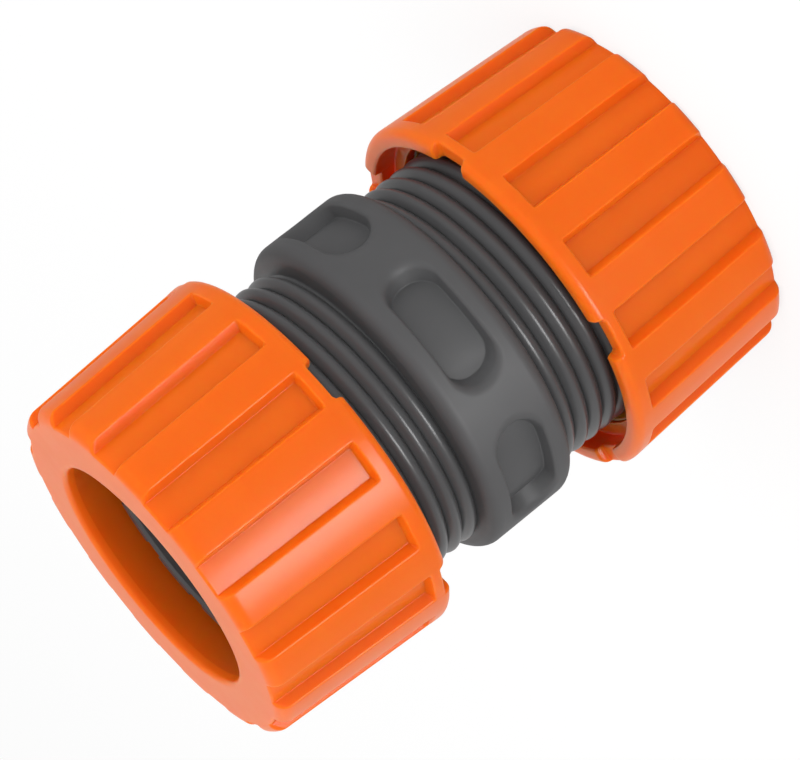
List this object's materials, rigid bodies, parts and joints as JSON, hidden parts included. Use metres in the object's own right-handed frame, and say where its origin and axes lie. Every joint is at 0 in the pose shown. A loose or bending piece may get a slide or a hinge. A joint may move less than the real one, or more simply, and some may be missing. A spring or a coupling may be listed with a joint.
{
  "type": "hose mender",
  "caption": "Straight coupling that joins two hose ends: threaded core with hose stems and claws, a collar, and a clamping nut at each end.",
  "frame": {"origin": "centre of the lower nut's end face, which the fitting stands on", "axes": "+Z along the water passage, up from the lower nut to the upper nut; a picture of the fitting from its long side looks along +Y"},
  "size_m": [0.0446, 0.0446, 0.0711],
  "materials": {
    "core_plastic": "grey moulded plastic with a soft gloss",
    "nut_plastic": "orange moulded plastic with a soft gloss"
  },
  "bodies": {
    "core": {"core": "core_plastic"},
    "upper_nut": {"upper_nut": "nut_plastic"},
    "lower_nut": {"lower_nut": "nut_plastic"}
  },
  "joints": [
    {"name": "upper_nut_turn", "type": "hinge", "parent": "core", "child": "upper_nut", "pos_m": [0, 0, 0.0599], "axis": [0, 0, -1], "range_deg": [-630, 630]},
    {"name": "lower_nut_turn", "type": "hinge", "parent": "core", "child": "lower_nut", "pos_m": [0, 0, 0.0112], "axis": [0, 0, 1], "range_deg": [-630, 630]}
  ]
}
